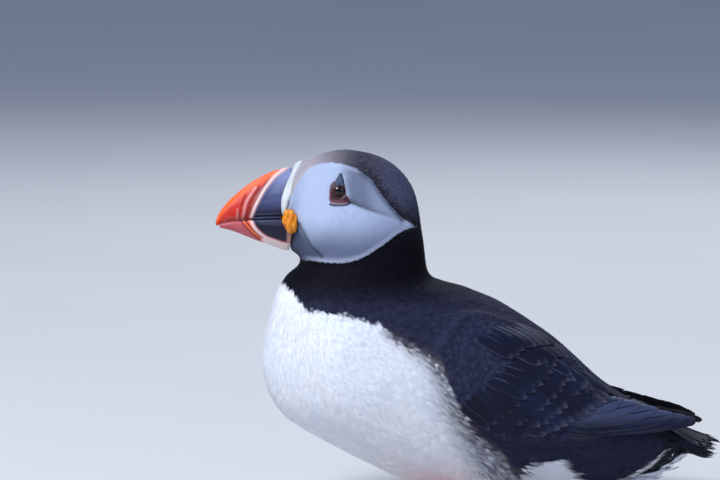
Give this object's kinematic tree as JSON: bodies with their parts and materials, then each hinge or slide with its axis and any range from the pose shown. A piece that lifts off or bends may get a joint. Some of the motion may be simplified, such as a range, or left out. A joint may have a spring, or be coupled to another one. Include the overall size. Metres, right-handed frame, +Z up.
{
  "type": "atlantic puffin",
  "caption": "Life-size still model of an adult Atlantic puffin in breeding dress, standing low on webbed feet with its body slanting back.",
  "frame": {"origin": "on the floor, at the bottom centre of the bird's box", "axes": "+Z up, the bill points along -X and the tail along +X, the bird's left side faces -Y"},
  "size_m": [0.2356, 0.0854, 0.1649],
  "materials": {
    "face_feathers": "short dense feathers, pale blue grey",
    "white_feathers": "soft white body feathers",
    "black_feathers": "black feathers with a faint blue and brown sheen",
    "bill_horn": "grooved horn, red, cream and slate blue",
    "cere_skin": "pale pitted ridge at the bill's base",
    "rosette_skin": "wrinkled orange yellow skin",
    "eye": "wet dark brown eye",
    "eye_plate_horn": "slate grey horny plate",
    "leg_skin": "scaled orange red skin",
    "claw_horn": "black horn"
  },
  "bodies": {
    "root": {"head": "face_feathers", "neck": "black_feathers", "trunk": "white_feathers", "tail": "black_feathers", "wing_left": "black_feathers", "wing_right": "black_feathers", "primaries_left": "black_feathers", "primaries_right": "black_feathers", "bill_upper": "bill_horn", "bill_lower": "bill_horn", "bill_cere": "cere_skin", "rosette_left": "rosette_skin", "rosette_right": "rosette_skin", "eye_left": "eye", "eye_right": "eye", "brow_plate_left": "eye_plate_horn", "brow_plate_right": "eye_plate_horn", "cheek_plate_left": "eye_plate_horn", "cheek_plate_right": "eye_plate_horn", "leg_left": "leg_skin", "leg_right": "leg_skin", "foot_left": "leg_skin", "foot_right": "leg_skin", "claw_inner_left": "claw_horn", "claw_middle_left": "claw_horn", "claw_outer_left": "claw_horn", "claw_inner_right": "claw_horn", "claw_middle_right": "claw_horn", "claw_outer_right": "claw_horn"}
  },
  "joints": []
}
